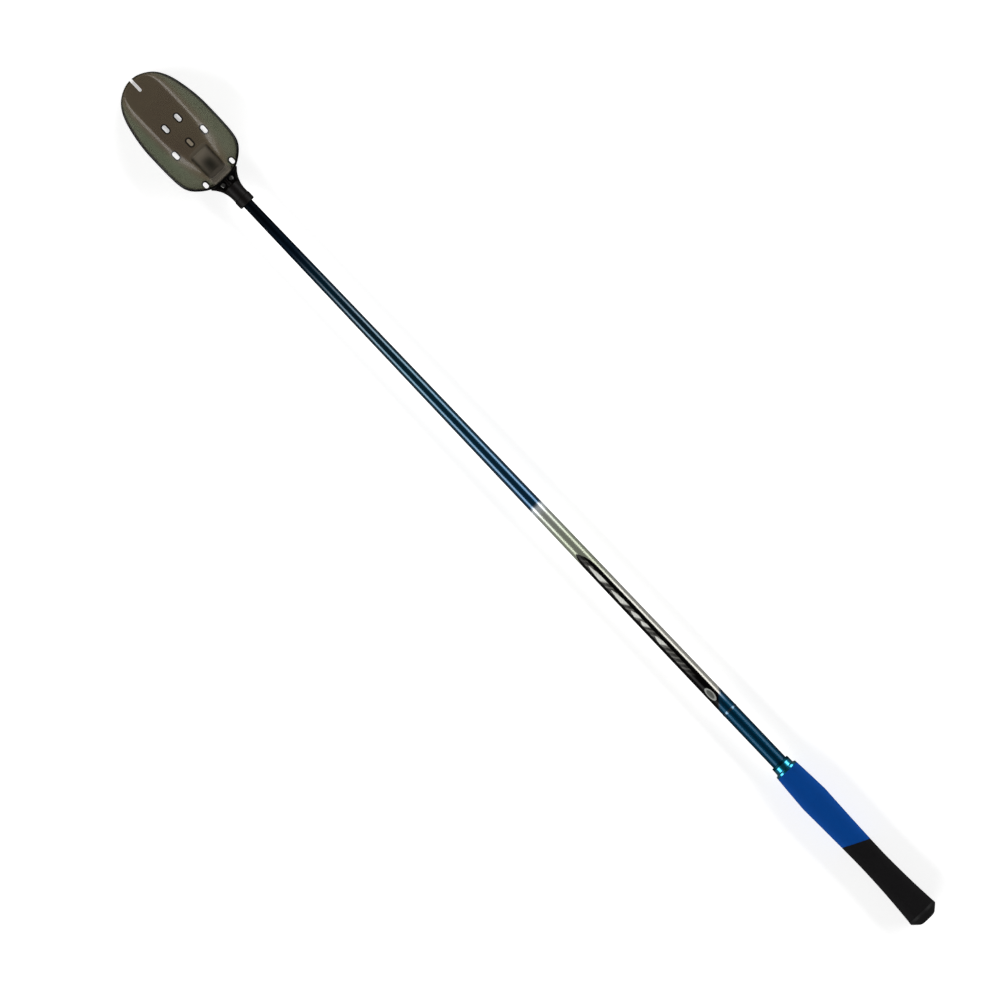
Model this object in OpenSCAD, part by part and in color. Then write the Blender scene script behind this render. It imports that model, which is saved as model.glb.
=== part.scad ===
// Baiting spoon: a perforated moulded scoop on a one-piece tapered pole with a foam grip.
// Millimetres. X runs along the pole from the scoop to the butt, Z is up.
// The origin is under the middle of the whole object, on the surface that it lies on.

/* [Overall] */
// Length from the tip of the bowl to the end of the butt cap
overall_length = 1310; // [1200:10:1400]

/* [Bowl] */
// Length of the bowl, from its tip to the back of its rim
bowl_length = 156.5; // [152:0.5:160]
// Width over the rim
bowl_width = 88; // [82:1:94]
// Height of the rim at the back
bowl_height = 34; // [32:1:36]
// Height of the lip at the tip
lip_height = 6; // [5:0.5:8]
// Thickness of the floor and walls
wall = 1.9; // [1.7:0.1:2.2]
// Width of the rim, seen from above
rim_width = 2.6; // [2.2:0.1:3]
// Depth of the bead that stiffens the rim
bead_depth = 3; // [2:0.5:4]
// Length and width of a drain slot
drain_size = [10, 4.8]; // [4:0.1:14]
// Length and width of the slot in the tip
tip_slot = [17.6, 3.4]; // [3:0.1:20]

/* [Neck] */
// Distance from the bowl's tip to the mouth of the neck's collar
neck_end = 193.2; // [190:0.1:198]
// Radius of the neck's tube
tube_r = 9.4; // [9:0.1:10]
// Radius of its collar
collar_r = 10.1; // [10:0.1:11]
// Radius of the concave flare between tube and bowl
flare_r = 34.3; // [32:0.1:36]
// Half the distance between the two screws
screw_offset = 6; // [5.5:0.1:6.5]

/* [Pole] */
// Diameter of the blank at its thin end
tip_d = 12.2; // [11:0.1:13]
// Diameter of the blank in front of the grip
band_d = 18.9; // [18:0.1:19.5]
// Wall thickness of the blank
blank_wall = 1.4; // [1:0.1:2]
// How fast the taper sets in towards the thin end
taper_power = 1.35; // [1:0.05:1.6]
// Length of the bare band between the trim ring and the winding check
band_length = 80.3; // [60:0.1:100]

/* [Grip] */
// Length of both foam sections together
grip_length = 219.8; // [200:0.1:240]
// Radius at the front end of the foam
grip_front_r = 14.6; // [13.5:0.1:15]
// Radius at the swell behind the front end
swell_r = 17.3; // [16:0.1:17.5]
// Radius at the waist
waist_r = 15.1; // [14:0.1:16]
// Radius at the back end of the foam
flare_end_r = 18.6; // [18:0.1:19.5]
// Angle of the joint between the two colours of foam
seam_angle = 25; // [0:1:30]
// Length of the butt cap outside the foam
cap_length = 11.6; // [10:0.1:14]

/* [Hidden] */

// Overall places
tip_x = -overall_length / 2;
butt_x = overall_length / 2;
cap_r = flare_end_r + 0.2;
axis_z = cap_r;

// Bowl, with the size that the guide points below give
nominal_bowl = [156.5, 87.876];
bowl_scale = [bowl_length / nominal_bowl.x, bowl_width / nominal_bowl.y];
// Guide points of half the rim and half the floor, tip first: each outline is a smooth curve that
// touches the lines between them at their middles
rim_guide = [[0, 0], [0, 11.5], [17.3, 33.6], [60, 43.6], [98, 44.1], [126, 43.2], [139, 38.6], [151, 25],
             [156.5, 12], [156.5, 0]];
floor_guide = [[3.9, 0], [4, 8], [9, 20.4], [45, 20.4], [80, 20.6], [95, 14.8], [122, 12.6], [140, 12],
               [142.2, 6], [142.2, 0]];
curve_steps = 5;
wall_steps = 6;
// Shape of the wall between floor and rim: 2 is a quarter ellipse, 1 a straight slope
wall_power = 1.45;
// Distance from the tip over which the rim climbs to its full height
climb_length = 100;
// Distance from the tip over which the bead grows to its full size
bead_growth = 30;
rim_chamfer = 0.7;
// How far the outside of the wall starts beyond the floor's outline
foot_offset = 0.38;
// Places of the slots on one side of the middle
drains = [[67.8, 9.5], [97.7, 21.9]];
corner_drain = [145.6, 20.4];
corner_drain_size = [7.8, 4.8];
// The blind well in the middle, where the moulding was filled
gate_well = [97.7, 0];
gate_floor = 0.8;
above = 60;

// Neck, with x counted from the bowl's tip
fit_gap = 0.1;
tongue_x = [113, 150];
tongue_half_w = 11.2;
tongue_z = [0.3, 2.9];
pocket_h = 3;
platform_x = [110, 143.5];
platform_half_w = 13;
platform_h = 5;
platform_heel_x = 145.2;
platform_heel_half_w = 12;
tab_x = [150.95, 164.5];
tab_setback = 1.05;
tab_half_w = 10;
tab_z = [14, 17];
screw_x = 159.3;
shank_r = 1.5;
clearance_r = 1.65;
socket_front = 165.1;
pole_front = 167;
collar_length = 9;
web_front = 149;
web_front_half_w = 15.5;
web_top = 20.5;
web_half_w = 20.3;
web_widest = 154.6;
rib_z = [9, 24];
rib_w = 2.5;
centre_rib_half_w = 1.4;
flare_x = 179;
pilot_bottom = 4.5;
edge_break = 0.8;
collar_slope = 1.5;
// Where the curved ribs start to get lower, by how much there, and their half height at the tube
rib_shoulder_x = 160;
rib_shoulder_drop = [1.5, 0.5];
rib_end_half_h = 2;
// The jaw's underside runs flat to the first guide point and sweeps up past the second
jaw_front = 142;
jaw_guide = [[157, 0.3], [167, 2.5]];
keel_front = 165;
keel_half_w = 3.5;
sweep_steps = 8;

// Screws
head_r = 2.8;
head_side = 0.6;
head_top = 0.7;
head_h = 2;
recess_depth = 1.1;
recess_size = [3, 0.7];

// Pole
blank_front = tip_x + pole_front;
cap_x = butt_x - cap_length;
grip_x = cap_x - grip_length;
check_length = 12.9;
check_x = grip_x - check_length;
seat_depth = 0.05;
ring_length = 2.8;
ring_x = check_x - band_length - ring_length;
band_r = band_d / 2;
seat_r = band_r - seat_depth;
ring_r = band_r + 0.2;
ring_chamfer = [0.3, 0.1];
blank_end = cap_x - 8;
taper_steps = 20;
// The winding check's outline: distance behind its front, and radius
check_outline = [[0, band_r + 1.7], [0.8, band_r + 2.1], [9.1, band_r + 2.3], [10.3, grip_front_r - 0.3],
                 [10.8, grip_front_r - 0.1], [check_length, grip_front_r - 0.1]];

// Grip
swell_x = 45;
waist_x = 141;
// How the foam curves up to the swell, down to the waist and out to the back end: 1 is straight
swell_power = 1.2;
waist_power = 1.5;
end_power = 1.75;
grip_steps = 8;
seam_x = grip_x + 113;
// How far the cutter of the slanted joint reaches behind it and to each side
seam_cut = 200;

// Butt cap: its side as distance behind the foam and radius, then the guide points of its domed end
cap_side = [[0, cap_r], [2.5, cap_r], [3.6, cap_r - 0.4]];
cap_dome = [[8.9, 12.6], [cap_length, 10], [cap_length, 6]];
stem_length = 36;
stem_taper = [2, 1];
curve_facets = 4;

// ---------- shared shapes ----------

function bezier(a, b, c, t) = (1 - t) ^ 2 * a + 2 * t * (1 - t) * b + t ^ 2 * c;
function unit(v) = v / norm(v);
function flat(p) = [p.x * bowl_scale.x, p.y * bowl_scale.y];
function mirrored(p) = [p.x, -p.y];

// A solid of revolution about the pole's axis, from points of radius and x
module turned(profile) {
    translate([0, 0, axis_z]) rotate([0, 90, 0]) rotate_extrude($fn = 96) polygon(profile);
}

// A slot from a height upwards, with its middle at a point and its round ends along X
module slot_cut(place, size, z = -1) {
    r = size.y / 2;
    reach = size.x / 2 - r;
    translate([place.x, place.y, z]) {
        for (end = [-reach, reach]) translate([end, 0, 0]) cylinder(r = r, h = above, $fn = 48);
        translate([-reach, -r, 0]) cube([2 * reach, size.y, above]);
    }
}

module box(low, high) {
    translate(low) cube(high - low);
}

// A block with a side outline in X and Z, centred on Y
module side_block(outline, half_w) {
    translate([0, half_w, 0]) rotate([90, 0, 0]) linear_extrude(height = 2 * half_w) polygon(outline);
}

// ---------- bowl ----------

function middle(list, i) = (list[i] + list[i + 1]) / 2;

// A smooth curve from the first guide point to the last
function half_outline(guide) =
    let (last = len(guide) - 1)
    [
        flat(guide[0]),
        for (i = [1 : last - 1], k = [1 : curve_steps])
            flat(bezier(i == 1 ? guide[0] : middle(guide, i - 1), guide[i], middle(guide, i), k / curve_steps)),
        flat(guide[last])
    ];

function whole_outline(guide) =
    let (half = half_outline(guide), n = len(half))
    concat(half, [for (i = [n - 2 : -1 : 1]) mirrored(half[i])]);

rim_line = whole_outline(rim_guide);
floor_line = whole_outline(floor_guide);
around = len(rim_line);
outward = [for (i = [0 : around - 1]) unit(rim_line[i] - floor_line[i])];

function rim_z(p) = bowl_height - (bowl_height - lip_height) * (1 - min(1, p.x / climb_length)) ^ 2;
function growth(p) = 0.4 + 0.6 * min(1, p.x / bead_growth);

// How far up and out the wall is, at a step from the floor to the rim
function wall_out(step) = sin(90 * step / wall_steps) ^ (2 / wall_power);
function wall_up(step) = 1 - cos(90 * step / wall_steps) ^ (2 / wall_power);

function point_at(from, to, step, low, high) =
    let (p = from + (to - from) * wall_out(step))
    [p.x, p.y, low + (high - low) * wall_up(step)];

function lifted(p, z) = [p.x, p.y, z];

function inner_row(step) = [
    for (i = [0 : around - 1])
        let (p = rim_line[i])
        point_at(floor_line[i], p - outward[i] * rim_width * growth(p), step, wall, rim_z(p) - rim_chamfer / 2)
];

function rim_row(inset, drop) = [
    for (i = [0 : around - 1])
        let (p = rim_line[i])
        lifted(p - outward[i] * inset * growth(p), rim_z(p) - drop * growth(p))
];

function outer_row(step, grow) = [
    for (i = [0 : around - 1])
        let (p = rim_line[i], g = growth(p), bead_out = rim_width - wall)
        point_at(floor_line[i] + outward[i] * (foot_offset + grow), p - outward[i] * (bead_out * g - grow),
                 step, 0, rim_z(p) - (bead_depth + rim_chamfer) * g)
];

// Skins a stack of rows into a closed solid, with flat ends
module skinned(rows) {
    last = len(rows) - 1;
    sides = [
        for (r = [0 : last - 1], i = [0 : around - 1])
            let (j = (i + 1) % around, a = r * around, b = a + around)
            each [[a + i, b + i, b + j], [a + i, b + j, a + j]]
    ];
    first_end = [for (i = [0 : around - 1]) i];
    last_end = [for (i = [around - 1 : -1 : 0]) last * around + i];
    polyhedron([for (row = rows) each row], concat([first_end], sides, [last_end]));
}

module bowl_shell() {
    skinned(concat(
        [for (step = [0 : wall_steps]) inner_row(step)],
        [rim_row(rim_width * 0.5, 0), rim_row(0, rim_chamfer), rim_row(0, bead_depth)],
        [for (step = [wall_steps : -1 : 0]) outer_row(step, 0)]));
}

// The bowl's outside as a solid, a little larger, to cut its neighbours with
module bowl_outside() {
    skinned([for (step = [wall_steps : -1 : 0]) outer_row(step, fit_gap)]);
}

// The raised floor over the neck's tongue, with a heel that runs into the back wall
module platform() {
    box([platform_x[0], -platform_half_w, wall - 0.5], [platform_x[1], platform_half_w, platform_h]);
    box([platform_x[1] - 0.5, -platform_heel_half_w, pocket_h],
        [platform_heel_x, platform_heel_half_w, platform_h]);
}

// The tab behind the bowl that the two screws clamp
module rear_tab() {
    front = [[tab_x[0], 0], [tab_x[0] - tab_setback, tab_half_w]];
    back = [[tab_x[1], tab_half_w], [tab_x[1], -tab_half_w]];
    translate([0, 0, tab_z[0]]) linear_extrude(height = tab_z[1] - tab_z[0])
        polygon(concat(front, back, [mirrored(front[1])]));
}

module scoop_bowl() {
    color("#5a5648") translate([tip_x, 0, 0]) difference() {
        union() {
            bowl_shell();
            platform();
            rear_tab();
        }
        box([tongue_x[0] - fit_gap, -tongue_half_w - fit_gap, -1],
            [bowl_length, tongue_half_w + fit_gap, pocket_h]);
        for (drain = drains, side = [-1, 1]) slot_cut([drain.x, side * drain.y], drain_size);
        slot_cut(gate_well, drain_size, gate_floor);
        for (side = [-1, 1]) slot_cut([corner_drain.x, side * corner_drain.y], corner_drain_size);
        slot_cut([0, 0], [2 * tip_slot.x, tip_slot.y]);
        for (side = [-1, 1]) translate([screw_x, side * screw_offset, tab_z[0] - 1])
            cylinder(r = clearance_r, h = tab_z[1] - tab_z[0] + 2, $fn = 48);
    }
}

// ---------- neck ----------

function blank_r(x) =
    band_r - (band_r - tip_d / 2) * ((ring_x - x) / (ring_x - blank_front)) ^ taper_power;

// A flat block with a plan outline given on the +Y side
module plan_block(outline, z) {
    other_side = [for (i = [len(outline) - 1 : -1 : 0]) mirrored(outline[i])];
    translate([0, 0, z[0]]) linear_extrude(height = z[1] - z[0]) polygon(concat(outline, other_side));
}

// The two big round cutters whose edges are the concave flare
module flare_cylinders(r) {
    for (side = [-1, 1]) translate([flare_x, side * (tube_r + flare_r), -1])
        cylinder(r = r, h = above, $fn = 96);
}

// The jaw under the tab, which sweeps up and narrows into the tube like a keel
module jaw() {
    under_tube = axis_z - tube_r;
    sweep_end = [flare_x, under_tube];
    sweep = [for (i = [0 : sweep_steps]) bezier(jaw_guide[0], jaw_guide[1], sweep_end, i / sweep_steps)];
    intersection() {
        side_block(concat([[jaw_front, tongue_z[0]]], sweep,
            [[flare_x, axis_z], [socket_front, axis_z], [socket_front, tab_z[0] - fit_gap],
             [jaw_front, tab_z[0] - fit_gap]]), tongue_half_w);
        plan_block([[jaw_front, tongue_half_w], [keel_front, tongue_half_w], [flare_x, keel_half_w]],
                   [-1, above]);
    }
}

module web(z) {
    difference() {
        plan_block([[web_front, web_front_half_w], [web_widest, web_half_w], [flare_x, web_half_w]], z);
        flare_cylinders(flare_r);
    }
}

// The two curved ribs along the web's edges, which get lower towards the tube
module edge_ribs() {
    intersection() {
        web([rib_z[0], rib_z[1]]);
        flare_cylinders(flare_r + rib_w);
        side_block([[web_front, rib_z[0]], [rib_shoulder_x, rib_z[0] + rib_shoulder_drop[0]],
                    [flare_x, axis_z - rib_end_half_h], [flare_x, axis_z + rib_end_half_h],
                    [rib_shoulder_x, rib_z[1] - rib_shoulder_drop[1]], [web_front, rib_z[1]]], web_half_w);
    }
}

module centre_rib() {
    back = socket_front + edge_break;
    side_block([[web_front, tab_z[1] + fit_gap], [web_front, rib_z[1]], [back, axis_z + tube_r - edge_break],
                [back, tab_z[1] + fit_gap]], centre_rib_half_w);
}

module socket_tube() {
    mouth = tip_x + neck_end;
    back = mouth - collar_length;
    front = tip_x + socket_front;
    turned([[0, front], [tube_r - edge_break, front], [tube_r, front + edge_break],
            [tube_r, back - collar_slope], [collar_r, back], [collar_r, mouth - edge_break],
            [collar_r - edge_break, mouth], [0, mouth]]);
}

module pole_bore() {
    mouth = tip_x + neck_end;
    turned([[0, blank_front], [blank_r(blank_front), blank_front], [blank_r(mouth), mouth],
            [blank_r(mouth), mouth + 1], [0, mouth + 1]]);
}

module neck_socket() {
    color("#15110f") difference() {
        union() {
            translate([tip_x, 0, 0]) difference() {
                union() {
                    jaw();
                    web([tab_z[1] + fit_gap, web_top]);
                    edge_ribs();
                    centre_rib();
                }
                bowl_outside();
            }
            translate([tip_x, 0, 0])
                box([tongue_x[0], -tongue_half_w, tongue_z[0]], [tongue_x[1], tongue_half_w, tongue_z[1]]);
            socket_tube();
        }
        pole_bore();
        for (side = [-1, 1]) translate([tip_x + screw_x, side * screw_offset, 0]) {
            translate([0, 0, pilot_bottom]) cylinder(r = shank_r, h = tab_z[0] - pilot_bottom, $fn = 48);
            translate([0, 0, tab_z[1]]) cylinder(r = clearance_r, h = web_top, $fn = 48);
        }
    }
}

module neck_screw() {
    difference() {
        union() {
            translate([0, 0, pilot_bottom + 1]) cylinder(r = shank_r, h = web_top - pilot_bottom - 1, $fn = 48);
            translate([0, 0, web_top]) cylinder(r = head_r, h = head_h * head_side, $fn = 48);
            translate([0, 0, web_top + head_h * head_side])
                cylinder(r1 = head_r, r2 = head_r * head_top, h = head_h * (1 - head_side), $fn = 48);
        }
        for (turn = [0, 90]) rotate([0, 0, turn])
            translate([-recess_size.x / 2, -recess_size.y / 2, web_top + head_h - recess_depth])
                cube([recess_size.x, recess_size.y, head_h]);
    }
}

module neck_screws() {
    color("#b9bcbf") for (side = [-1, 1]) translate([tip_x + screw_x, side * screw_offset, 0]) neck_screw();
}

// ---------- pole ----------

module pole_blank() {
    taper = [for (i = [0 : taper_steps]) blank_front + (ring_x - blank_front) * i / taper_steps];
    outside = [for (x = taper) [blank_r(x), x]];
    inside = [for (i = [taper_steps : -1 : 0]) [blank_r(taper[i]) - blank_wall, taper[i]]];
    steps = [[seat_r, ring_x], [seat_r, ring_x + ring_length], [band_r, ring_x + ring_length],
             [band_r, check_x], [seat_r, check_x], [seat_r, blank_end], [band_r - blank_wall, blank_end]];
    color("#10283f") turned(concat(outside, steps, inside));
}

module trim_ring() {
    back = ring_x + ring_length;
    color("#c8ccd0") turned([[seat_r, ring_x], [ring_r - ring_chamfer.y, ring_x],
        [ring_r, ring_x + ring_chamfer.x], [ring_r, back - ring_chamfer.x], [ring_r - ring_chamfer.y, back],
        [seat_r, back]]);
}

module winding_check() {
    color("#1e9fb4") turned(concat([[seat_r, check_x]], [for (p = check_outline) [p.y, check_x + p.x]],
        [[seat_r, grip_x]]));
}

// ---------- grip ----------

// Radius of the foam at a distance behind its front end
function grip_r(s) =
    s < swell_x ? swell_r - (swell_r - grip_front_r) * (1 - s / swell_x) ^ swell_power :
    s < waist_x ? waist_r + (swell_r - waist_r) * (1 - (s - swell_x) / (waist_x - swell_x)) ^ waist_power :
    waist_r + (flare_end_r - waist_r) * ((s - waist_x) / (grip_length - waist_x)) ^ end_power;

function grip_points(from, to) =
    [for (i = [0 : grip_steps - 1]) let (s = from + (to - from) * i / grip_steps) [grip_r(s), grip_x + s]];

module grip_body() {
    turned(concat([[seat_r, grip_x]], grip_points(0, swell_x), grip_points(swell_x, waist_x),
        grip_points(waist_x, grip_length), [[flare_end_r, cap_x], [seat_r, cap_x]]));
}

// Everything behind the slanted joint between the two foams
module behind_seam() {
    translate([seam_x, 0, 0]) rotate([0, 0, -seam_angle]) box([0, -seam_cut, -above], [seam_cut, seam_cut, above]);
}

module fore_grip() {
    color("#0a3f8f") difference() {
        grip_body();
        behind_seam();
    }
}

module rear_grip() {
    color("#17181a") intersection() {
        grip_body();
        behind_seam();
    }
}

module butt_cap() {
    stem_r = band_r - blank_wall;
    stem_x = blank_end - stem_length;
    dome = [for (i = [0 : curve_facets]) bezier(cap_dome[0], cap_dome[1], cap_dome[2], i / curve_facets)];
    color("#131313") turned(concat(
        [[0, stem_x], [stem_r - stem_taper.y, stem_x], [stem_r, stem_x + stem_taper.x],
         [stem_r, blank_end], [seat_r, blank_end], [seat_r, cap_x]],
        [for (p = concat(cap_side, dome)) [p.y, cap_x + p.x]],
        [[0, butt_x]]));
}

scoop_bowl();
neck_socket();
neck_screws();
pole_blank();
trim_ring();
winding_check();
fore_grip();
rear_grip();
butt_cap();
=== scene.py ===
"""Looks of the baiting spoon: a smoked, perforated bowl on a lacquered pole with a two-colour foam grip.

Shapes are worked out in millimetres, with X along the pole and Z up, and turned into metres when a
mesh is made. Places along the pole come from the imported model's own boxes.
"""

import math

import bmesh
import bpy
import numpy as np
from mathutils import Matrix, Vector, noise

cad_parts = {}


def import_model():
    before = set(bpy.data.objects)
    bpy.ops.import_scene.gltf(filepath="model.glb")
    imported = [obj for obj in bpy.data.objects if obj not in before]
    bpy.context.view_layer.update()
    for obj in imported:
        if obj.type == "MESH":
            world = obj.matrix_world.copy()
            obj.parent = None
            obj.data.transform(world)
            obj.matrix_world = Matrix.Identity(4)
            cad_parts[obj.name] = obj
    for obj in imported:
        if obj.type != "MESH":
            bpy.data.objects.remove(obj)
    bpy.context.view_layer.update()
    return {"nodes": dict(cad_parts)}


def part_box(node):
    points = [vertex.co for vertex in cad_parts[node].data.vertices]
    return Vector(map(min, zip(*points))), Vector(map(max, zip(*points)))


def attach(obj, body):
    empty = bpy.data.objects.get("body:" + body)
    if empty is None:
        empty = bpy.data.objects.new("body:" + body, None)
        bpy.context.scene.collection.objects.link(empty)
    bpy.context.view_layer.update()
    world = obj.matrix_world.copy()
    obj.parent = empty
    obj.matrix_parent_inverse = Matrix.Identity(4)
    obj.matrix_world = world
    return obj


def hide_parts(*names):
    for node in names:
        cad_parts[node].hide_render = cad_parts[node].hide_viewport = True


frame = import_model()
MM = 0.001


# ---------- places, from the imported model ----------


def span(node):
    """(lowest x, highest x) of a CAD node in millimetres."""
    low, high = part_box(node)
    return low.x / MM, high.x / MM


pole_low, pole_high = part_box("pole_blank")
AXIS_Z = (pole_low.z + pole_high.z) / 2 / MM
TIP_X = span("scoop_bowl")[0]
CHECK_X, GRIP_X = span("winding_check")
CAP_X = span("rear_grip")[1]
SEAM_ANGLE = math.radians(25)
SEAM_X = GRIP_X + 113
BAND_R = 9.45
GRIP_LENGTH = CAP_X - GRIP_X


# ---------- mesh helpers ----------


def made(name, points, faces, sharp=40):
    """A closed mesh piece from points in millimetres, shaded smooth up to an angle, on the one body."""
    mesh = bpy.data.meshes.new(name)
    mesh.from_pydata([tuple(c * MM for c in p) for p in points], [], faces)
    bm = bmesh.new()
    bm.from_mesh(mesh)
    bmesh.ops.remove_doubles(bm, verts=bm.verts, dist=0.01 * MM)
    bmesh.ops.recalc_face_normals(bm, faces=bm.faces)
    bm.to_mesh(mesh)
    bm.free()
    piece = bpy.data.objects.new(name, mesh)
    bpy.context.scene.collection.objects.link(piece)
    smooth(piece, sharp)
    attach(piece, "root")
    return piece


def smooth(piece, sharp):
    """Smooth shading, with edges over an angle in degrees kept sharp."""
    mesh = piece.data
    mesh.polygons.foreach_set("use_smooth", [True] * len(mesh.polygons))
    mesh.set_sharp_from_angle(angle=math.radians(sharp))


def triangulate(piece):
    """Splits every face of a piece into triangles, so that cuts leave only flat faces."""
    bm = bmesh.new()
    bm.from_mesh(piece.data)
    bmesh.ops.triangulate(bm, faces=bm.faces)
    bm.to_mesh(piece.data)
    bm.free()


def apply_modifiers(piece):
    """Bakes a piece's modifiers into its mesh."""
    shown = piece.evaluated_get(bpy.context.evaluated_depsgraph_get())
    done = bpy.data.meshes.new_from_object(shown)
    piece.modifiers.clear()
    piece.data = done


def strip_faces(a, b, around):
    """Quads between rows a and b, where each row is a closed loop of points."""
    faces = []
    for i in range(around):
        j = (i + 1) % around
        faces.append((a * around + i, b * around + i, b * around + j, a * around + j))
    return faces


def grid_faces(rows, around, closed=False):
    """Quads between each row of points and the next, and from the last row to the first if closed."""
    faces = []
    for row in range(rows - 1):
        faces += strip_faces(row, row + 1, around)
    if closed:
        faces += strip_faces(rows - 1, 0, around)
    return faces


def turned(name, profile, steps=128, sharp=40):
    """A solid of revolution about the pole's axis, from a closed profile of (x, radius)."""
    points = []
    for x, r in profile:
        for i in range(steps):
            a = 2 * math.pi * i / steps
            points.append((x, r * math.sin(a), AXIS_Z + r * math.cos(a)))
    return made(name, points, grid_faces(len(profile), steps, closed=True), sharp)


def bezier(a, b, c, t):
    """The point at t on the curve from a to c that bends towards b."""
    return tuple((1 - t) ** 2 * p + 2 * t * (1 - t) * q + t**2 * r for p, q, r in zip(a, b, c))


def rounded(before, at, after, reach, steps=6):
    """Points of the curve that rounds the corner at a point of a profile."""
    a, b, c = (np.array(p, float) for p in (before, at, after))
    start = b + reach * (a - b) / np.linalg.norm(a - b)
    end = b + reach * (c - b) / np.linalg.norm(c - b)
    return [bezier(start, b, end, i / steps) for i in range(steps + 1)]


def rounded_profile(corners):
    """A closed profile from (x, radius, reach of the rounding) corners."""
    done = []
    for i, (x, r, reach) in enumerate(corners):
        before, after = corners[i - 1][:2], corners[(i + 1) % len(corners)][:2]
        done += rounded(before, (x, r), after, reach) if reach else [(x, r)]
    return done


# ---------- material helpers ----------


def linear(code):
    """A linear colour from a hex code such as 1a2b3c."""
    parts = [int(code[i : i + 2], 16) / 255 for i in (0, 2, 4)]
    return (*[c / 12.92 if c <= 0.04045 else ((c + 0.055) / 1.055) ** 2.4 for c in parts], 1)


class Finish:
    """One procedural material. Its coordinates are the row frame's, in metres."""

    def __init__(self, name, **constants):
        self.material = bpy.data.materials.new(name)
        self.material.use_nodes = True
        self.tree = self.material.node_tree
        self.tree.nodes.clear()
        self.shader = self.node("ShaderNodeBsdfPrincipled")
        self.out = self.node("ShaderNodeOutputMaterial")
        self.tree.links.new(self.shader.outputs[0], self.out.inputs["Surface"])
        self.place = self.node("ShaderNodeTexCoord").outputs["Object"]
        parts = self.node("ShaderNodeSeparateXYZ", self.place).outputs
        self.x, self.y, self.z = parts
        for socket, value in constants.items():
            self.shader.inputs[socket.replace("_", " ")].default_value = value

    def node(self, kind, *values, **settings):
        """A node with its settings, and its inputs in order: a socket is linked and a value is set."""
        made_node = self.tree.nodes.new(kind)
        for key, value in settings.items():
            setattr(made_node, key, value)
        for socket, value in zip(made_node.inputs, values):
            self.feed(socket, value)
        return made_node

    def feed(self, socket, value):
        """Links a socket to this one, or sets a value on it."""
        if isinstance(value, bpy.types.NodeSocket):
            self.tree.links.new(value, socket)
        elif value is not None:
            socket.default_value = value

    def set(self, socket, value):
        self.feed(self.shader.inputs[socket], value)

    def math(self, operation, *values):
        return self.node("ShaderNodeMath", *values, operation=operation).outputs[0]

    def mix(self, share, a, b, blend="MIX"):
        mixer = self.node("ShaderNodeMix", data_type="RGBA", blend_type=blend)
        for socket, value in zip((mixer.inputs[0], mixer.inputs[6], mixer.inputs[7]), (share, a, b)):
            self.feed(socket, value)
        return mixer.outputs[2]

    def rise(self, value, at, soft):
        """0 below a place and 1 above it, with a soft step of that half width."""
        if isinstance(at, bpy.types.NodeSocket):
            value, at = self.math("SUBTRACT", value, at), 0
        return self.node(
            "ShaderNodeMapRange", value, at - soft, at + soft, 0.0, 1.0, interpolation_type="SMOOTHSTEP"
        ).outputs[0]

    def within(self, value, low, high, soft):
        """1 between two places and 0 outside them."""
        return self.math("MULTIPLY", self.rise(value, low, soft), self.fall(value, high, soft))

    def fall(self, value, at, soft):
        """1 below a place and 0 above it."""
        return self.math("SUBTRACT", 1.0, self.rise(value, at, soft))

    def ramp(self, value, stops, low=0.0, high=1.0):
        """A colour that goes through (place, hex code) stops, for a value from low to high."""
        share = self.node("ShaderNodeMapRange", value, low, high, 0.0, 1.0).outputs[0]
        ramp = self.node("ShaderNodeValToRGB", share)
        band = ramp.color_ramp
        while len(band.elements) < len(stops):
            band.elements.new(0.5)
        for element, (place, code) in zip(band.elements, stops):
            element.position = (place - low) / (high - low)
            element.color = linear(code)
        return ramp.outputs[0]

    def stretched(self, x, y, z):
        """The coordinates with each axis multiplied."""
        return self.node("ShaderNodeVectorMath", self.place, (x, y, z), operation="MULTIPLY").outputs[0]

    def noise(self, scale, detail=3.0, roughness=0.5, at=None):
        """Cloudy noise from 0 to 1, with its scale in features a metre."""
        made_node = self.node("ShaderNodeTexNoise")
        self.feed(made_node.inputs["Vector"], at or self.place)
        for socket, value in (("Scale", scale), ("Detail", detail), ("Roughness", roughness)):
            made_node.inputs[socket].default_value = value
        return made_node.outputs[0]

    def cells(self, scale, at=None):
        """The distance to the nearest of scattered points."""
        made_node = self.node("ShaderNodeTexVoronoi")
        self.feed(made_node.inputs["Vector"], at or self.place)
        made_node.inputs["Scale"].default_value = scale
        return made_node.outputs["Distance"]

    def distance(self, a, b):
        """The length of a line that spans two distances at right angles."""
        return self.math("SQRT", self.math("ADD", self.math("MULTIPLY", a, a), self.math("MULTIPLY", b, b)))

    def spread(self, value, low, high):
        """A value from 0 to 1 moved to low to high."""
        return self.node("ShaderNodeMapRange", value, 0.0, 1.0, low, high).outputs[0]

    def bump(self, height, distance, strength=1.0, over=None):
        made_node = self.node("ShaderNodeBump")
        made_node.inputs["Strength"].default_value = strength
        made_node.inputs["Distance"].default_value = distance
        self.feed(made_node.inputs["Height"], height)
        self.feed(made_node.inputs["Normal"], over)
        return made_node.outputs[0]

    def cover(self, *pieces):
        """The only material of these pieces."""
        for piece in pieces:
            piece.data.materials.clear()
            piece.data.materials.append(self.material)


# ---------- bowl ----------

# Guide points of half the rim and half the floor, tip first: each outline is a smooth curve that
# touches the lines between them at their middles
RIM_GUIDE = [(0, 0), (0, 11.5), (17.3, 33.6), (60, 43.6), (98, 44.1), (126, 43.2), (139, 38.6), (151, 25),
             (156.5, 12), (156.5, 0)]
FLOOR_GUIDE = [(3.9, 0), (4, 8), (9, 20.4), (45, 20.4), (80, 20.6), (95, 14.8), (122, 12.6), (140, 12),
               (142.2, 6), (142.2, 0)]
CURVE_STEPS = 14
HALF_WIDTH = 44
WALL = 1.9
FOOT_OFFSET = 0.38
RIM_WIDTH = 2.6
BEAD_DEPTH = 3
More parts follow.
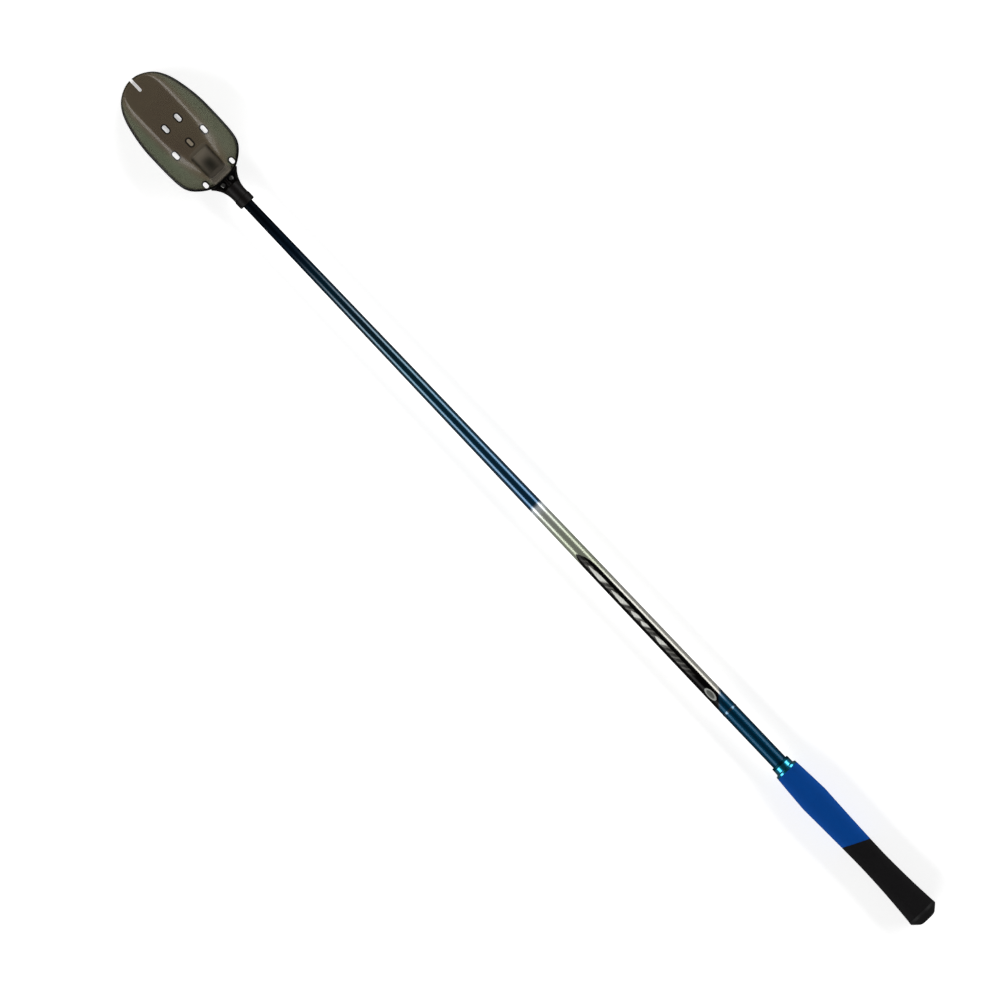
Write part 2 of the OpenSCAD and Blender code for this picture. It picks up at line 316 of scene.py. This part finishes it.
# The bead's section, from the inside over the top: distance in from the rim's outline, and below the rim
BEAD = [(RIM_WIDTH, 0.9), (RIM_WIDTH * 0.93, 0.35), (RIM_WIDTH * 0.72, 0.05), (RIM_WIDTH * 0.5, 0),
        (RIM_WIDTH * 0.28, 0.08), (RIM_WIDTH * 0.08, 0.4), (0, 1), (0, BEAD_DEPTH - 0.6),
        (0.15, BEAD_DEPTH)]
BOWL_HEIGHT = 34
LIP_HEIGHT = 6
CLIMB_LENGTH = 100
WALL_POWER = 1.45
WALL_STEPS = 18
FLOOR_STEPS = 14
# The raised part of the floor over the neck's tongue: x from and to, half width, height, soft edge
BOSS = (110.6, 147, 12.4, 3.1, 1.4)
DRAINS = [(67.8, 9.5), (97.7, 21.9)]
DRAIN_SIZE = (10, 4.8)
CORNER_DRAIN = (145.6, 20.4)
CORNER_DRAIN_SIZE = (7.8, 4.8)
GATE_WELL = (97.7, 0)
GATE_FLOOR = 0.8
TIP_SLOT = (35.2, 3.4)
# The tab behind the bowl with its two screw slots, and the pocket under the floor: low and high corners
TAB = ((149, -10, 14), (164.5, 10, 17))
SCREW_SLOT = (159.3, 6)
SCREW_SLOT_SIZE = (3.4, 3.3)
POCKET = ((112.9, -11.3, -5), (160, 11.3, 3))
# Where the finish changes along the bowl: x from and to
RIBBED_PANEL = (139.5, 153)
MILKY_FLOOR = (110, 141)
CLEAR_PATCH = (123, 140)
RIB_PITCH = 2.6


def whole_outline(guide):
    """The closed outline for the guide points of its half on the +Y side."""
    half = [guide[0]]
    start = guide[0]
    for at, after in zip(guide[1:-1], guide[2:]):
        end = tuple((a + b) / 2 for a, b in zip(at, after))
        half += [bezier(start, at, end, k / CURVE_STEPS) for k in range(1, CURVE_STEPS + 1)]
        start = end
    half.append(guide[-1])
    return np.array(half + [(x, -y) for x, y in half[-2:0:-1]])


def soft_step(value, width):
    """0 to 1 as a value goes from -width to width."""
    t = min(1, max(0, value / width * 0.5 + 0.5))
    return t * t * (3 - 2 * t)


def boss_height(x, y):
    """Height of the raised part over the floor."""
    start, end, half, height, soft = BOSS
    return height * soft_step(x - start, soft) * soft_step(end - x, soft) * soft_step(half - abs(y), soft)


def slot_cutter(place, size, low, high=60, steps=24):
    """A round-ended slot along X as a solid, with its place counted from the bowl's tip."""
    r, reach = size[1] / 2, size[0] / 2 - size[1] / 2
    ring = []
    for side, turn in ((1, -90), (-1, 90)):
        for i in range(steps + 1):
            a = math.radians(turn + 180 * i / steps)
            ring.append((TIP_X + place[0] + side * reach + r * math.cos(a), place[1] + r * math.sin(a)))
    n = len(ring)
    points = [(x, y, z) for z in (low, high) for x, y in ring]
    return points, [*grid_faces(2, n), tuple(range(n)), tuple(range(2 * n - 1, n - 1, -1))]


def box_solid(low, high):
    """A box as a solid, with its corners' x counted from the bowl's tip."""
    (x0, y0, z0), (x1, y1, z1) = low, high
    ring = [(TIP_X + x0, y0), (TIP_X + x1, y0), (TIP_X + x1, y1), (TIP_X + x0, y1)]
    points = [(x, y, z) for z in (z0, z1) for x, y in ring]
    return points, [*grid_faces(2, 4), (0, 1, 2, 3), (7, 6, 5, 4)]


def boolean(piece, solids, operation):
    """Cuts solids from a piece or adds them to it, one after another."""
    triangulate(piece)
    for points, faces in solids:
        mesh = bpy.data.meshes.new("tool")
        mesh.from_pydata([tuple(c * MM for c in p) for p in points], [], faces)
        bm = bmesh.new()
        bm.from_mesh(mesh)
        bmesh.ops.recalc_face_normals(bm, faces=bm.faces)
        bm.to_mesh(mesh)
        bm.free()
        tool = bpy.data.objects.new("tool", mesh)
        bpy.context.scene.collection.objects.link(tool)
        cut = piece.modifiers.new("cut", "BOOLEAN")
        cut.operation = operation
        cut.solver = "MANIFOLD"
        cut.object = tool
        apply_modifiers(piece)
        bpy.data.objects.remove(tool)


def bowl():
    """The shell as one skin, from the middle of the floor up inside, over the rim and back underneath."""
    rim, floor = whole_outline(RIM_GUIDE), whole_outline(FLOOR_GUIDE)
    widen = (1, HALF_WIDTH / rim[:, 1].max())
    rim, floor = rim * widen, floor * widen
    outward = rim - floor
    outward /= np.linalg.norm(outward, axis=1)[:, None]
    top = BOWL_HEIGHT - (BOWL_HEIGHT - LIP_HEIGHT) * (1 - np.minimum(1, rim[:, 0] / CLIMB_LENGTH)) ** 2
    growth = 0.4 + 0.6 * np.minimum(1, rim[:, 0] / 30)

    def row(flat, height):
        return np.column_stack([flat, np.broadcast_to(height, len(flat))])

    def wall_row(step, start, end, low, high):
        turn = math.radians(90 * step / WALL_STEPS)
        out, up = math.sin(turn) ** (2 / WALL_POWER), 1 - math.cos(turn) ** (2 / WALL_POWER)
        return row(start + (end - start) * out, low + (high - low) * up)

    def rim_row(inset, drop):
        return row(rim - outward * (inset * growth)[:, None], top - drop * growth)

    def over_boss(points):
        points[:, 2] = [max(z, WALL + boss_height(x, y)) for x, y, z in points]
        return points

    def floor_row(share, height):
        return over_boss(row(floor * (1, share), height))

    inner_edge = rim - outward * (RIM_WIDTH * growth)[:, None]
    outer_foot = floor + outward * FOOT_OFFSET
    outer_edge = rim - outward * ((RIM_WIDTH - WALL) * growth)[:, None]
    rows = [floor_row(k / FLOOR_STEPS, WALL) for k in range(FLOOR_STEPS)]
    for step in range(WALL_STEPS):
        rows.append(over_boss(wall_row(step, floor, inner_edge, WALL, top - 0.9 * growth)))
    rows += [rim_row(inset, drop) for inset, drop in BEAD]
    for step in range(WALL_STEPS, -1, -1):
        rows.append(wall_row(step, outer_foot, outer_edge, 0, top - (BEAD_DEPTH + 0.5) * growth))
    rows += [row(outer_foot * (1, k / FLOOR_STEPS), 0) for k in range(FLOOR_STEPS - 1, -1, -1)]
    points = np.concatenate(rows) + (TIP_X, 0, 0)
    piece = made("scoop_bowl_shell", points.tolist(), grid_faces(len(rows), len(rim)))
    boolean(piece, [box_solid(*TAB)], "UNION")
    cuts = [box_solid(*POCKET), slot_cutter((0, 0), TIP_SLOT, -5)]
    cuts.append(slot_cutter(GATE_WELL, DRAIN_SIZE, GATE_FLOOR))
    for side in (-1, 1):
        cuts += [slot_cutter((x, side * y), DRAIN_SIZE, -5) for x, y in DRAINS]
        cuts.append(slot_cutter((CORNER_DRAIN[0], side * CORNER_DRAIN[1]), CORNER_DRAIN_SIZE, -5))
        cuts.append(slot_cutter((SCREW_SLOT[0], side * SCREW_SLOT[1]), SCREW_SLOT_SIZE, 12, 20))
    boolean(piece, cuts, "DIFFERENCE")
    smooth(piece, 35)
    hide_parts("scoop_bowl")
    return piece


# ---------- neck and screws ----------


def moulded_copy(name, node, voxel, passes):
    """A CAD node's shape as one moulding, with every edge and inner corner softened."""
    piece = bpy.data.objects.new(name, frame["nodes"][node].data.copy())
    bpy.context.scene.collection.objects.link(piece)
    remesh = piece.modifiers.new("remesh", "REMESH")
    remesh.mode = "VOXEL"
    remesh.voxel_size = voxel * MM
    remesh.adaptivity = 0
    relax = piece.modifiers.new("relax", "SMOOTH")
    relax.factor = 0.5
    relax.iterations = passes
    apply_modifiers(piece)
    smooth(piece, 60)
    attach(piece, "root")
    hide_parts(node)
    return piece


# ---------- grip ----------

SWELL_X, WAIST_X = 45, 141
FRONT_R, SWELL_R, WAIST_R, END_R = 14.6, 17.3, 15.1, 18.6
FOAM_BORE = BAND_R - 0.05


def grip_r(s):
    """Radius of the foam at a distance behind its front end."""
    if s < SWELL_X:
        return SWELL_R - (SWELL_R - FRONT_R) * (1 - s / SWELL_X) ** 1.2
    if s < WAIST_X:
        return WAIST_R + (SWELL_R - WAIST_R) * (1 - (s - SWELL_X) / (WAIST_X - SWELL_X)) ** 1.5
    return WAIST_R + (END_R - WAIST_R) * ((s - WAIST_X) / (GRIP_LENGTH - WAIST_X)) ** 1.75


def foam_r(x, a):
    """Radius of the sanded foam, which is never quite round."""
    r = grip_r(min(max(x - GRIP_X, 0), GRIP_LENGTH))
    wander = noise.noise(Vector((x * 0.035, 1.4 * math.cos(a), 1.4 * math.sin(a))))
    return r + 0.09 * wander - 0.08


def foam_sleeve(name, start, end, around=128, rings=90, edge=0.3):
    """A foam sleeve with rounded edges. Its start and end are functions that give x at a place along Y."""
    corner = [(edge * (1 - math.cos(t)), edge * (1 - math.sin(t))) for t in np.radians(range(0, 90, 18))]
    skin, first, last = (foam_r(x, 0) for x in (SEAM_X, start(0), end(0)))

    def skin_x(y, share):
        low, high = start(y * skin) + edge, end(y * skin) - edge
        return low + (high - low) * share

    # Each row is a function that gives x, and how far it lies under the skin, or None on the bore
    rows = [(lambda y: start(y * FOAM_BORE), None)]
    rows += [(lambda y, along=along: start(y * first) + along, under) for along, under in corner]
    rows += [(lambda y, share=k / rings: skin_x(y, share), 0) for k in range(rings + 1)]
    rows += [(lambda y, along=along: end(y * last) - along, under) for along, under in reversed(corner)]
    rows.append((lambda y: end(y * FOAM_BORE), None))
    points = []
    for x_of, under in rows:
        for i in range(around):
            a = 2 * math.pi * i / around
            x = x_of(math.sin(a))
            r = FOAM_BORE if under is None else foam_r(x, a) - under
            points.append((x, r * math.sin(a), AXIS_Z + r * math.cos(a)))
    return made(name, points, grid_faces(len(rows), around, closed=True), 50)


def seam(y):
    """The x of the slanted joint between the foams at a place along Y."""
    return SEAM_X + y * math.tan(SEAM_ANGLE)


# ---------- finishes ----------


def smoked_plastic():
    """Smoky translucent plastic, with painted shade that makes the floor darker and browner, painted light
    that makes the walls lighter, a darker bead, and painted shade round the slots.
    """
    f = Finish("smoked_plastic", Transmission_Weight=1.0, IOR=1.4)
    x = f.math("SUBTRACT", f.math("DIVIDE", f.x, MM), TIP_X)
    y = f.math("ABSOLUTE", f.math("DIVIDE", f.y, MM))
    z = f.math("DIVIDE", f.z, MM)
    ribs = f.math("SINE", f.math("MULTIPLY", z, 2 * math.pi / RIB_PITCH))
    mottle = f.noise(14, 4, 0.6)
    # Painted shade and painted light: the floor is darker and browner and the walls lighter, as the side
    # lights would leave them
    floor = f.mix(mottle, linear("4d4038"), linear("5a5442"))
    wall = f.mix(mottle, linear("4f5a48"), linear("5b564b"))
    colour = f.mix(f.rise(z, 6, 4.5), floor, wall)
    # The ribbed panel at the back, the milky raised floor in front of it, and a clearer patch in that
    panel_across = f.math("MULTIPLY", f.rise(z, 4.2, 0.5), f.fall(y, 13, 2))
    back_wall = f.math("MULTIPLY", f.within(x, *RIBBED_PANEL, 1.2), panel_across)
    boss = f.math("MULTIPLY", f.within(x, *MILKY_FLOOR, 4), f.fall(y, 11, 4))
    clear = f.math("MULTIPLY", f.within(x, *CLEAR_PATCH, 7), f.fall(y, 6, 6))
    # Darker along the bead, below a rim that climbs from the lip at the tip to its full height
    climb = f.math("MAXIMUM", f.math("SUBTRACT", 1.0, f.math("DIVIDE", x, CLIMB_LENGTH)), 0.0)
    drop = f.math("MULTIPLY", f.math("POWER", climb, 2.0), BOWL_HEIGHT - LIP_HEIGHT)
    over_rim = f.math("ADD", f.math("SUBTRACT", z, BOWL_HEIGHT), drop)
    bead_dark_and_slot_shade = f.math("MULTIPLY", f.rise(over_rim, -5.2, 0.9), f.spread(f.rise(x, 14, 12), 0.45, 1))
    # Painted shade in a ring round each slot, standing in for the shade of its walls
    slots = [*[(place, DRAIN_SIZE) for place in (*DRAINS, GATE_WELL)], (CORNER_DRAIN, CORNER_DRAIN_SIZE)]
    for place, (length, width) in slots:
        from_middle = f.math("ABSOLUTE", f.math("SUBTRACT", x, place[0]))
        along = f.math("MAXIMUM", f.math("SUBTRACT", from_middle, (length - width) / 2), 0.0)
        away = f.distance(along, f.math("SUBTRACT", y, place[1]))
        ring = f.within(away, width / 2 - 0.3, width / 2 + 1.5, 0.5)
        bead_dark_and_slot_shade = f.math("MAXIMUM", bead_dark_and_slot_shade, ring)
    well_length, well_width = DRAIN_SIZE
    well_along = f.within(x, GATE_WELL[0] - well_length / 2, GATE_WELL[0] + well_length / 2, 0.4)
    well = f.math("MULTIPLY", well_along, f.fall(y, well_width / 2, 0.4))
    colour = f.mix(well, colour, linear("8a8070"))
    colour = f.mix(f.math("MULTIPLY", boss, f.math("SUBTRACT", 1.0, clear)), colour, linear("9c9180"))
    # Painted light and painted shade on the ribbed panel: lighter and darker bands that follow the ribs
    colour = f.mix(back_wall, colour, f.mix(f.spread(ribs, 0.2, 1), linear("857c6e"), linear("c4bbac")))
    # The bead darker, and painted shade round the slots
    f.set("Base Color", f.mix(bead_dark_and_slot_shade, colour, linear("0f0e0c")))
    milky_boss = f.math("MULTIPLY", boss, f.spread(clear, 0.85, 0.4))
    milky = f.math("MAXIMUM", f.math("MULTIPLY", back_wall, 0.85), milky_boss)
    f.set("Transmission Weight", f.math("SUBTRACT", 1.0, milky))
    f.set("Roughness", f.math("MULTIPLY_ADD", boss, 0.45, f.spread(f.noise(60, 4, 0.6), 0.16, 0.3)))
    lines = f.noise(1, 2, 0.5, f.stretched(40, 420, 420))
    ribbing = f.bump(f.math("MULTIPLY", ribs, back_wall), 0.0002, 0.8)
    f.set("Normal", f.bump(lines, 0.00008, 0.5, ribbing))
    depth = f.node("ShaderNodeVolumeAbsorption", linear("c8c4b8"), 120.0)
    f.tree.links.new(depth.outputs[0], f.out.inputs["Volume"])
    return f


def black_nylon():
    """Glass-filled nylon, with fibres along the neck."""
    f = Finish("black_nylon", IOR=1.5)
    fibres = f.noise(1, 3, 0.6, f.stretched(900, 2600, 2600))
    f.set("Base Color", f.mix(f.spread(fibres, 0, 0.7), linear("060404"), linear("100b09")))
    f.set("Specular IOR Level", 0.14)
    f.set("Roughness", f.spread(f.noise(900, 3), 0.38, 0.62))
    f.set("Normal", f.bump(f.noise(1400, 2), 0.00006, 0.6))
    return f


def stainless():
    """Bright steel of the screws."""
    f = Finish("stainless", Metallic=1.0)
    rings = f.noise(2500, 3)
    f.set("Base Color", f.mix(rings, linear("8e8c8a"), linear("b9b8b4")))
    f.set("Roughness", f.spread(f.noise(1800, 2), 0.22, 0.45))
    f.set("Normal", f.bump(rings, 0.00002, 0.5))
    return f


# The long silver panel of the blank: where it starts, then where it ends and how that end slants
SILVER_X = 10.5
SILVER_END = (312, 1.05)
# The black wedge on it opens from its point to its full half angle. Angles about the pole are in degrees
# from the top towards +Y
WEDGE_X = 81
WEDGE_OPENING = 36
WEDGE_ANGLE, WEDGE_HALF = -30, 54
# The pale leaves in the wedge: x from and to
LEAVES = [(100.5, 126.5), (138, 161.5), (170.5, 183), (186.5, 196.5), (210, 225)]
LEAF_ANGLE, LEAF_HALF = -23, 18
# The grey hatching round the leaves: x from and to
HATCHING = (94, 264)
# The oval plate: its middle and half length along X, then its middle angle and half angle
OVAL = (301, 9.6, -23, 26)


def lacquered_blank():
    """Metallic blue lacquer with a silver panel, a black wedge of pale leaves and a plain oval."""
    f = Finish("lacquered_blank", IOR=1.5)
    x = f.math("DIVIDE", f.x, MM)
    y = f.math("DIVIDE", f.y, MM)
    height = f.math("SUBTRACT", f.math("DIVIDE", f.z, MM), AXIS_Z)
    angle = f.math("MULTIPLY", f.math("ARCTAN2", y, height), 180 / math.pi)
    flake = f.cells(2600)
    streaks = f.noise(1, 3, 0.55, f.stretched(60, 1500, 1500))
    wear = f.noise(35, 4, 0.6)

    # Blue, from nearly black at the scoop to a matt band in front of the grip
    blue_stops = [(-440, "05090f"), (-380, "061522"), (-310, "033042"), (-200, "004458"), (0, "004b70"),
                  (290, "004b70"), (320, "003852"), (410, "003852")]
    blue = f.ramp(x, blue_stops, -450, 450)
    matt = f.rise(x, 312, 9)
    head = f.fall(x, -325, 70)

    # Silver panel
    slant = f.math("ADD", x, f.math("MULTIPLY", y, SILVER_END[1]))
    silver = f.math("MULTIPLY", f.rise(x, SILVER_X, 3.5), f.fall(slant, SILVER_END[0], 3))
    silver_stops = [(14, "dfe6ea"), (24, "b3b8ae"), (60, "a4ab98"), (100, "a0a592"), (140, "b4b3ab"),
                    (310, "b4b2aa")]
    silver_colour = f.ramp(x, silver_stops, 0, 320)

    # Black wedge with its leaves
    shut = f.node("ShaderNodeMapRange", x, WEDGE_X, WEDGE_X + WEDGE_OPENING, 1.0, 0.0).outputs[0]
    reach = f.math("MULTIPLY", f.math("SUBTRACT", 1.0, f.math("POWER", shut, 3.3)), WEDGE_HALF)
    off_middle = f.math("ABSOLUTE", f.math("SUBTRACT", angle, WEDGE_ANGLE))
    inside_wedge = f.rise(f.math("SUBTRACT", reach, off_middle), 0, 2.5)
    wedge = f.math("MULTIPLY", inside_wedge, f.rise(x, WEDGE_X, 0.6))
    leaf_side = f.math("SUBTRACT", angle, LEAF_ANGLE)
    leaf_off = f.math("ABSOLUTE", leaf_side)
    pale = None
    for start, end in LEAVES:
        along = f.node("ShaderNodeMapRange", x, start, start + 0.7 * (end - start), 0.0, 1.0).outputs[0]
        half = f.math("MULTIPLY", f.math("POWER", along, 0.6), LEAF_HALF)
        tail = f.math("SUBTRACT", x, f.math("MULTIPLY", leaf_side, 0.22))
        inside_leaf = f.rise(f.math("SUBTRACT", half, leaf_off), 0.8, 1.8)
        leaf = f.math("MULTIPLY", inside_leaf, f.fall(tail, end - 1, 2.2))
        pale = leaf if pale is None else f.math("MAXIMUM", pale, leaf)
    hatch_at = f.math("ADD", f.math("MULTIPLY", x, 0.75), f.math("MULTIPLY", leaf_side, -0.16))
    hatch = f.spread(f.math("SINE", f.math("ADD", hatch_at, f.math("MULTIPLY", wear, 2.0))), 0, 1)
    beside_leaves = f.rise(f.math("SUBTRACT", LEAF_HALF, leaf_off), 0, 2.5)
    hatching = f.math("MULTIPLY", f.within(x, *HATCHING, 14), beside_leaves)
    grey_share = f.math("MULTIPLY", hatching, f.math("MULTIPLY_ADD", hatch, 0.6, 0.2))
    black = f.mix(grey_share, linear("030202"), linear("7c7b75"))
    wedge_colour = f.mix(pale, black, linear("dedfd8"))

    # Plain oval plate
    across = f.math("DIVIDE", f.math("SUBTRACT", angle, OVAL[2]), OVAL[3])
    along = f.math("DIVIDE", f.math("SUBTRACT", x, OVAL[0]), OVAL[1])
    away = f.distance(along, across)
    oval = f.fall(away, 0.94, 0.06)
    oval_colour = f.mix(f.rise(away, 0.66, 0.08), linear("5b5e59"), linear("a3a6a0"))

    in_silver = f.mix(wedge, silver_colour, wedge_colour)
    colour = f.mix(silver, blue, in_silver)
    black_share = f.math("MULTIPLY", silver, wedge)
    colour = f.mix(f.math("MULTIPLY", oval, f.rise(x, 282, 1)), colour, oval_colour)
    f.set("Base Color", f.mix(f.math("MULTIPLY", streaks, 0.18), colour, linear("05070a")))

    dull = f.math("MULTIPLY_ADD", matt, 0.16, f.math("MULTIPLY", head, 0.3))
    bare_silver = f.math("SUBTRACT", silver, black_share)
    not_metal = f.math("MULTIPLY_ADD", bare_silver, 0.35, black_share)
    f.set("Metallic", f.math("MULTIPLY", f.spread(flake, 0.8, 0.98), f.math("SUBTRACT", 1.0, not_metal)))
    f.set("Specular IOR Level", 0.1)
    f.set("Roughness", f.math("ADD", f.spread(flake, 0.2, 0.34), dull))
    bare = f.math("MAXIMUM", f.math("MULTIPLY", matt, 0.85), f.math("MAXIMUM", head, silver))
    f.set("Coat Weight", f.math("SUBTRACT", 1.0, bare))
    f.set("Coat Roughness", 0.12)
    f.set("Coat IOR", 1.65)
    edge = f.math("MULTIPLY", f.math("MAXIMUM", pale, wedge), silver)
    f.set("Normal", f.bump(edge, 0.00002, 0.4, f.bump(f.noise(120, 3), 0.00004, 0.2)))
    return f


# How far the darker, uncoated front of the winding check reaches
DARK_FRONT_LENGTH = 3.4


def silver_trim():
    """Turned metal ring that takes the colour of the lacquer round it."""
    f = Finish("silver_trim", Metallic=1.0)
    turned_lines = f.noise(1, 2, 0.5, f.stretched(9000, 60, 60))
    f.set("Base Color", f.mix(turned_lines, linear("41586a"), linear("6a8598")))
    f.set("Roughness", f.spread(turned_lines, 0.18, 0.34))
    f.set("Normal", f.bump(turned_lines, 0.00002, 0.5))
    return f


def cyan_anodised():
    """Cyan anodised metal, darker, rougher and uncoated for a short length at its front."""
    f = Finish("cyan_anodised", Metallic=1.0, Coat_Roughness=0.1)
    main = f.rise(f.math("DIVIDE", f.x, MM), CHECK_X + DARK_FRONT_LENGTH, 0.5)
    turned_lines = f.noise(1, 2, 0.5, f.stretched(5200, 40, 40))
    cyan = f.mix(turned_lines, linear("0c90b0"), linear("149abb"))
    f.set("Base Color", f.mix(main, linear("06323e"), cyan))
    f.set("Roughness", f.math("MULTIPLY_ADD", main, -0.15, f.spread(turned_lines, 0.35, 0.49)))
    f.set("Coat Weight", main)
    f.set("Normal", f.bump(turned_lines, 0.00003, 0.5))
    return f


def foam(name, dark, light):
    """Fine closed-cell foam, sanded."""
    f = Finish(name, IOR=1.4)
    cells = f.cells(1500)
    shade = f.math("ADD", f.math("MULTIPLY", f.noise(45, 4), 0.7), f.math("MULTIPLY", cells, 0.3))
    f.set("Base Color", f.mix(shade, linear(dark), linear(light)))
    f.set("Roughness", f.spread(f.noise(300, 2), 0.78, 0.95))
    f.set("Normal", f.bump(cells, 0.00012, 0.7, f.bump(f.noise(260, 3), 0.0003, 0.35)))
    f.set("Specular IOR Level", 0.12)
    return f


def butt_rubber():
    """Matt moulded rubber."""
    f = Finish("butt_rubber", IOR=1.5)
    grain = f.noise(1700, 3)
    f.set("Base Color", f.mix(grain, linear("0c0c0c"), linear("151516")))
    f.set("Specular IOR Level", 0.2)
    f.set("Roughness", f.spread(f.noise(200, 3), 0.5, 0.72))
    f.set("Normal", f.bump(grain, 0.00008, 0.5))
    return f


# ---------- the pieces ----------

shell = bowl()
smoked_plastic().cover(shell)

neck = moulded_copy("neck_moulding", "neck_socket", 0.4, 3)
black_nylon().cover(neck)

stainless().cover(frame["nodes"]["neck_screws"])
lacquered_blank().cover(frame["nodes"]["pole_blank"])
silver_trim().cover(frame["nodes"]["trim_ring"])

check = turned("winding_check_cone", rounded_profile([
    (CHECK_X, BAND_R, 0), (CHECK_X, BAND_R + 1.7, 0.25), (CHECK_X + 0.8, BAND_R + 2.1, 0.3),
    (CHECK_X + 9.1, BAND_R + 2.3, 0.5), (CHECK_X + 10.4, FRONT_R - 0.15, 0.5),
    (GRIP_X, FRONT_R - 0.15, 0.3), (GRIP_X, BAND_R, 0)]))
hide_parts("winding_check")
cyan_anodised().cover(check)

fore = foam_sleeve("fore_grip_foam", lambda y: GRIP_X, lambda y: seam(y) - 0.02)
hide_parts("fore_grip")
foam("blue_foam", "003c84", "00408c").cover(fore)

rear = foam_sleeve("rear_grip_foam", lambda y: seam(y) + 0.02, lambda y: CAP_X)
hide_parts("rear_grip")
foam("black_foam", "0f0e0f", "151415").cover(rear)

butt_rubber().cover(frame["nodes"]["butt_cap"])


# ---------- stage, light and camera ----------

PHOTO_TURN = math.radians(46.44)
CENTRE = (-0.0222, -0.0245)
VIEW_WIDTH = 1.1318
CAMERA_HEIGHT = 24.0
# How much the floor glows, so that it is as white as a light table
FLOOR_GLOW = 0.5
FLOOR_GLOW_THROUGH = 0.85


def stage():
    """A white floor that glows to the camera and through the plastic, and is dim in reflections."""
    mesh = bpy.data.meshes.new("floor")
    bm = bmesh.new()
    bmesh.ops.create_grid(bm, x_segments=1, y_segments=1, size=9)
    bm.to_mesh(mesh)
    bm.free()
    floor = bpy.data.objects.new("floor", mesh)
    floor.location.z = -0.0004
    bpy.context.scene.collection.objects.link(floor)
    pale = Finish("pale_floor", Base_Color=(0.9, 0.9, 0.9, 1), Roughness=0.9)
    dim = pale.node("ShaderNodeBsdfDiffuse", (0.16, 0.16, 0.16, 1))
    path = pale.node("ShaderNodeLightPath")
    pale.set("Emission Color", (1, 1, 1, 1))
    through = pale.math("MULTIPLY", path.outputs["Is Transmission Ray"], FLOOR_GLOW_THROUGH)
    seen = pale.math("MULTIPLY", path.outputs["Is Camera Ray"], FLOOR_GLOW)
    pale.set("Emission Strength", pale.math("MAXIMUM", seen, through))
    mirrored = pale.math("SUBTRACT", path.outputs["Is Glossy Ray"], path.outputs["Is Transmission Ray"])
    mixer = pale.node("ShaderNodeMixShader", mirrored, pale.shader.outputs[0], dim.outputs[0])
    pale.tree.links.new(mixer.outputs[0], pale.out.inputs["Surface"])
    pale.cover(floor)


def world():
    """A white background for the camera, and a dim one for everything else."""
    sky = bpy.data.worlds.new("studio")
    sky.use_nodes = True
    nodes, links = sky.node_tree.nodes, sky.node_tree.links
    nodes.clear()
    path, out = nodes.new("ShaderNodeLightPath"), nodes.new("ShaderNodeOutputWorld")
    pale, dim = nodes.new("ShaderNodeBackground"), nodes.new("ShaderNodeBackground")
    pale.inputs[0].default_value = (0.95, 0.95, 0.95, 1)
    dim.inputs[0].default_value = (0.05, 0.05, 0.05, 1)
    mixer = nodes.new("ShaderNodeMixShader")
    links.new(path.outputs["Is Camera Ray"], mixer.inputs[0])
    links.new(dim.outputs[0], mixer.inputs[1])
    links.new(pale.outputs[0], mixer.inputs[2])
    links.new(mixer.outputs[0], out.inputs[0])
    bpy.context.scene.world = sky


def panel(side, tilt, distance, length, height, radiance):
    """A long soft box beside the object, tilt degrees off the vertical, facing the object."""
    data = bpy.data.lights.new("soft_box", "AREA")
    data.shape = "RECTANGLE"
    data.size, data.size_y = length, height
    data.energy = radiance * math.pi * length * height
    light = bpy.data.objects.new("soft_box", data)
    a = math.radians(tilt)
    light.location = (0, side * distance * math.sin(a), distance * math.cos(a))
    light.rotation_euler = (-side * a, 0, 0)
    light.visible_camera = False
    bpy.context.scene.collection.objects.link(light)


def camera():
    """A long lens from straight above."""
    data = bpy.data.cameras.new("camera")
    data.sensor_width = 36
    data.lens = data.sensor_width * CAMERA_HEIGHT / VIEW_WIDTH
    data.clip_end = 100
    cam = bpy.data.objects.new("camera", data)
    cam.location = (*CENTRE, CAMERA_HEIGHT)
    cam.rotation_euler = (0, 0, PHOTO_TURN)
    bpy.context.scene.collection.objects.link(cam)
    bpy.context.scene.camera = cam


stage()
world()
for side in (-1, 1):
    panel(side, 60, 2.2, 5, 1.15, 3.9)
camera()
bpy.context.scene.view_settings.view_transform = "Standard"
